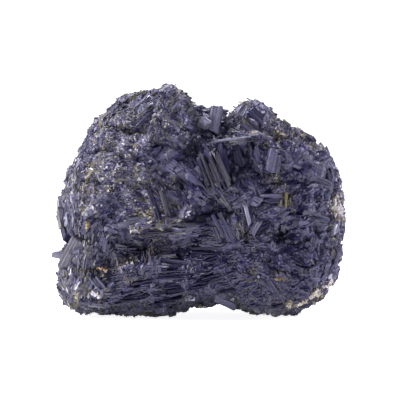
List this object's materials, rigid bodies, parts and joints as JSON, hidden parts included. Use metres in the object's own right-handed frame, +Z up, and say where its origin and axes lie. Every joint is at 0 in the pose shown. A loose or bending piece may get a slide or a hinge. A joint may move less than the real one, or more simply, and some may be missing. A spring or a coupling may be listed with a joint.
{
  "type": "epidote crystal specimen",
  "caption": "Cabinet mineral specimen: a lump of dark slate-blue to olive epidote prisms grown into each other, with two flat feet.",
  "frame": {"origin": "middle of the bounding box, in the plane that the specimen rests on", "axes": "+Z up, -Y out of the show face, +X to the right as the show face is looked at"},
  "size_m": [0.0752, 0.0485, 0.0602],
  "materials": {
    "epidote": "vitreous, striated crystal faces"
  },
  "bodies": {
    "root": {"epidote_cluster": "epidote"}
  },
  "joints": []
}
